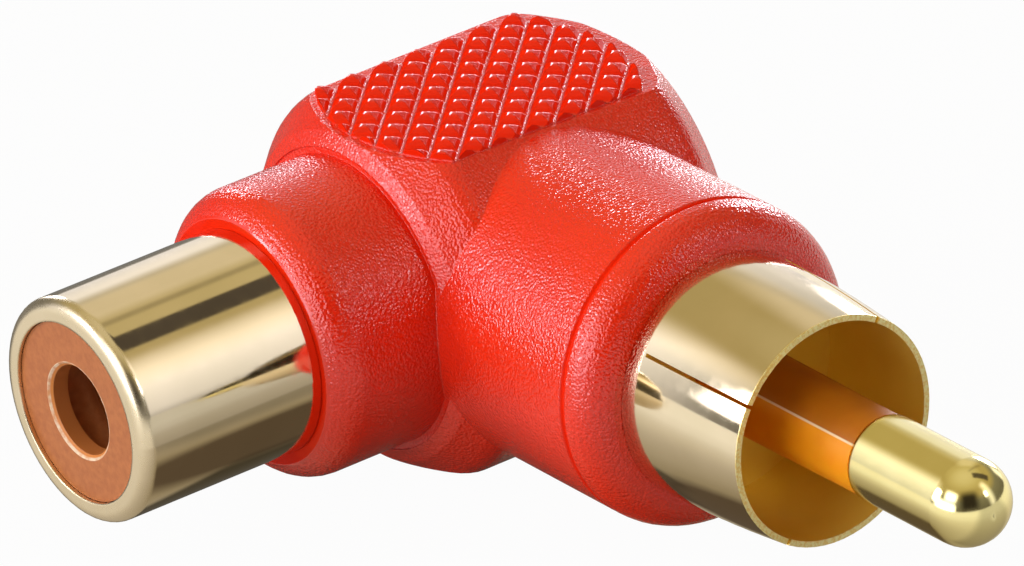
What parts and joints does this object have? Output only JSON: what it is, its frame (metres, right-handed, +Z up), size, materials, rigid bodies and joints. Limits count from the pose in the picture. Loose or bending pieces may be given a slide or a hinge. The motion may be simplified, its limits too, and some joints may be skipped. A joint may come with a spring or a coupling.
{
  "type": "right-angle phono plug adapter",
  "caption": "Right-angle audio adapter: a gold phono plug and a gold phono jack set at right angles in a red overmoulded elbow with a knurled grip.",
  "frame": {"origin": "crossing of the plug axis and the jack axis, in the middle of the grip block", "axes": "+X along the plug axis towards the pin's tip, -Y along the jack axis out of the jack, +Z up through the knurled flat"},
  "size_m": [0.0361, 0.0245, 0.0125],
  "materials": {
    "red_moulding": "spark-eroded grain, satin",
    "gold_plate": "polished gold plating",
    "amber_plastic": "smooth, slightly translucent",
    "brown_plastic": "matte moulded",
    "copper_wire": "bare drawn wire"
  },
  "bodies": {
    "root": {"housing": "red_moulding", "plug_shell": "gold_plate", "plug_insulator": "amber_plastic", "plug_pin": "gold_plate", "jack_sleeve": "gold_plate", "jack_insulator": "brown_plastic", "jack_contact": "gold_plate", "signal_link": "copper_wire", "ground_link": "copper_wire"}
  },
  "joints": []
}
